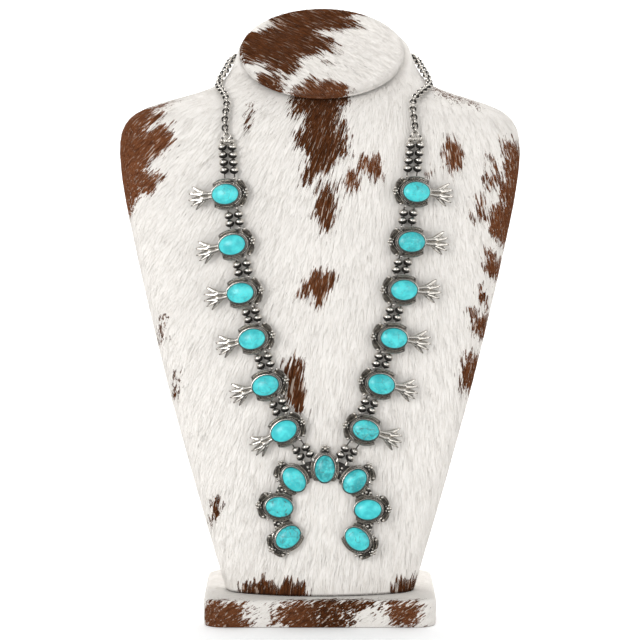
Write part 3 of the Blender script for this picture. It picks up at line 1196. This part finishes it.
def crescent():
    """The crescent's plate: a bevelled section carried round an arc that is open below."""
    inner, outer = CRESCENT
    profile = np.array([(inner, 0.2), (inner + 0.2, 0), (outer - 0.2, 0), (outer, 0.2), (outer, PLATE - 0.2),
                        (outer - 0.2, PLATE), (inner + 0.2, PLATE), (inner, PLATE - 0.2)])
    turn = np.radians(np.linspace(-129, 129, 90))[:, None]
    rings = np.stack([profile[None, :, 0] * np.sin(turn), profile[None, :, 0] * np.cos(turn),
                      profile[None, :, 1] + 0 * turn], -1)
    return shell(rings, np.array([[0.4, 0.2, 0.2, 0.5, 0.5, 0.15, 0.15, 0.5]]))


def make_naja(silver, turquoises):
    """The naja in its own frame, which its top and side stones give, and its seven stones."""
    frames = [flat_frame(f"naja_stone_{number}", (0, 0, -1)) for number in range(1, 8)]
    top = frames[3]
    w = sum(each[3] for each in frames)
    w /= np.linalg.norm(w)
    y = -(top[1] - w * (top[1] @ w))
    y /= np.linalg.norm(y)
    x = np.cross(y, w)
    centre = top[0] - y * NAJA_HIGH
    parts = [crescent()]
    for number in range(-3, 4):
        leafed = {-1: (-1,), 0: (), 1: (1,)}.get(number, (-1, 1))
        parts.append(naja_setting_place(number * NAJA_STEP, join(setting(2, leafed, leafed))))
    for number in range(-3, 3):
        balls = FILLERS[:FILLERS_BESIDE_LUGS] if number in (-1, 0) else FILLERS
        middle = (number + 0.5) * NAJA_STEP
        for far, aside, radius in balls:
            points, faces, polish = granule(aside, far, PLATE + 0.5 * radius, radius)
            parts.append((turned(points, math.radians(-middle), (0, 0)), faces, polish))
    for side in (-1, 1):
        out = np.array([side * math.sin(LUG_TURN), math.cos(LUG_TURN), 0])
        across = np.array([side * math.cos(LUG_TURN), -math.sin(LUG_TURN), 0])
        for shift in (-COLUMN / 2, COLUMN / 2):
            middle = out * LUG_RADIUS + across * shift + [0, 0, LUG_HEIGHT]
            parts.append(tube(middle, out, LUG_LENGTH, TUBE_RADIUS, BORE_RADIUS))
    points, faces, polish = placed(join(parts), centre, x, y, w)
    add_piece("naja_casting", points, faces, silver, ("naja",), {"polish": polish}, 40)
    cabochon = stone_shape()
    for number in range(7):
        part = naja_setting_place((number - 3) * NAJA_STEP, cabochon)
        points, faces, polish = placed(part, centre, x, y, w)
        add_piece(f"cabochon_naja_{number + 1}", points, faces, turquoises["naja"][number],
                  (f"naja_stone_{number + 1}",), {"clear": polish}, 50)


BEAD_WIDE = 6.0
BEAD_LONG = 4.95
BEAD_BORE = 0.65
# The tarnish has gathered on the lower half of each bead, up to these latitudes
BEAD_DARK_TO = -0.50
BEAD_BRIGHT_FROM = 0.10
# and on the side towards the other string by this much more
BEAD_DARK_SIDE = 0.72


def bead_shape():
    """A drilled bead with a soldered seam: an ellipse and its bore turned about the drill."""
    edge = math.acos(BEAD_BORE / (BEAD_WIDE / 2))
    rise = np.linspace(-edge, edge, 17)
    seam = 1 - 0.018 * np.exp(-(rise / 0.09) ** 2)
    out = BEAD_WIDE / 2 * np.cos(rise) * seam
    along = BEAD_LONG / 2 * np.sin(rise)
    lip = np.array([(BEAD_BORE * 0.9, along[-1] - 0.25), (BEAD_BORE * 0.9, along[0] + 0.25)])
    profile = np.concatenate([np.column_stack([out, along]), lip])
    turn = np.linspace(0, 2 * np.pi, 28, endpoint=False)[:, None]
    rings = np.stack([profile[None, :, 0] * np.cos(turn), profile[None, :, 0] * np.sin(turn),
                      profile[None, :, 1] + 0 * turn], -1)
    rise_there = rise[None, :] - BEAD_DARK_SIDE * np.clip(np.cos(turn), 0, 1)
    shine = step(rise_there, BEAD_DARK_TO, BEAD_BRIGHT_FROM) * step(rise[None, :], 1.25, 0.95)
    return shell(rings, np.concatenate([shine, 0 * shine[:, :2]], 1), hoop=True)


def link_shape(radius, thick):
    """A round link: a circle turned about the link's axis."""
    turn = np.linspace(0, 2 * np.pi, 22, endpoint=False)[:, None]
    section = np.linspace(0, 2 * np.pi, 8, endpoint=False)[None, :]
    out = radius + thick * np.cos(section)
    rings = np.stack([out * np.cos(turn), out * np.sin(turn), thick * np.sin(section) + 0 * turn], -1)
    return shell(rings, step(np.cos(section), 0.0, 0.6), hoop=True)


LINK_RADIUS = 2.1
LINK_WIRE = 0.72


def make_strings(silver):
    """The beads and links, each where its solid is, with its axis where that one's spread is least."""
    for name, shape, nodes in (
        ("bead", bead_shape(), [f"beads_{side}_{row}" for side in ("left", "right") for row in ("inner", "outer")]),
        ("link", link_shape(LINK_RADIUS, LINK_WIRE), ["neck_chain_left", "neck_chain_right"]),
    ):
        for node in nodes:
            parts = []
            for centre, (axis, aside, third) in solids_of(node):
                axis = axis if axis[2] > 0 else -axis
                if name == "bead":
                    other = 1.0 if ("left" in node) == ("outer" in node) else -1.0
                    aside = np.array([other, 0.0, 0.0]) - other * axis[0] * axis
                    aside /= np.linalg.norm(aside)
                third = np.cross(axis, aside)
                parts.append(placed(shape, centre, aside, third, axis))
            points, faces, polish = join(parts)
            add_piece(f"silver_{node}", points, faces, silver[name], (node,), {"polish": polish}, 50)


def dress_nodes(silver, thread):
    """Finishes of the solids that stay."""
    for node in ("connector_left", "connector_right", "clasp_hook", "clasp_ring"):
        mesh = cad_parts[node].data
        mesh.materials.clear()
        mesh.materials.append(silver)
    for side in ("left", "right"):
        for row in ("inner", "outer"):
            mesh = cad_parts[f"thread_{side}_{row}"].data
            mesh.materials.clear()
            mesh.materials.append(thread)


# How each stone looks. columns: how deep its blue is, its web of cracks, its mottling
STONE_LOOKS = {
    "left": [(0.1, 0.35, 0.7), (0.1, 0.1, 0.3), (0.3, 0.3, 0.7), (0.2, 0.35, 0.5), (0.1, 0.5, 0.4), (0.0, 0.0, 0.05)],
    "right": [(0.1, 0.5, 0.5), (0.5, 0.3, 0.8), (0.1, 0.2, 0.5), (0.2, 0.5, 0.5), (0.3, 0.6, 0.6), (0.5, 0.8, 1.0)],
    "naja": [(0.4, 0.9, 0.4), (0.2, 1.0, 0.6), (0.2, 0.15, 0.7), (1.0, 0.5, 0.6), (0.8, 0.3, 0.7), (0.0, 0.0, 0.1),
             (0.1, 0.7, 0.4)],
}


def main():
    make_camera()
    make_lights()
    make_stage(pale_stage())
    antique = make_antique_group()
    cast = antique_silver("cast_silver", antique)
    bead = antique_silver("bead_silver", antique)
    link = antique_silver("link_silver", antique)
    plain = antique_silver("plain_silver", antique, 0.62)
    hide = cowhide("cowhide", make_hide_group())
    blue = make_turquoise_group()
    turquoises = {
        name: [turquoise(f"turquoise_{name}_{number}", blue, *row) for number, row in enumerate(rows, 1)]
        for name, rows in STONE_LOOKS.items()
    }
    make_chest(hide)
    make_cap(hide)
    make_base(hide)
    make_castings(cast, turquoises)
    make_naja(cast, turquoises)
    make_strings({"bead": bead, "link": link})
    dress_nodes(plain, waxed_thread())


main()
